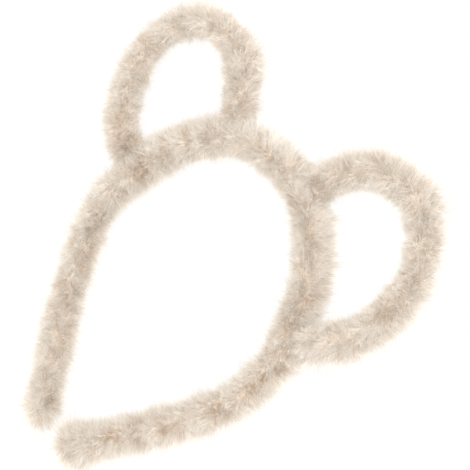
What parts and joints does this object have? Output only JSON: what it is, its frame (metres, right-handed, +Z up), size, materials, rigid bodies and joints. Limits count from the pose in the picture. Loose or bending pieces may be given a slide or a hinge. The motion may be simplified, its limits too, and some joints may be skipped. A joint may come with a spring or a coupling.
{
  "type": "teddy bear ears headband",
  "caption": "Fluffy alice band covered in beige plush pile, with open round bear-ear loops sewn to its top, worn on the head as a costume headpiece.",
  "frame": {"origin": "centre of the footprint of the headband as it lies flat, on the table", "axes": "+Z up from the table, +Y from the band's tips towards its crown and ears, +X across towards the right ear as seen from above"},
  "size_m": [0.1846, 0.1928, 0.016],
  "materials": {
    "plush": "soft matt beige faux-fur pile"
  },
  "bodies": {
    "root": {"band": "plush", "ear_left": "plush", "ear_right": "plush"}
  },
  "joints": []
}
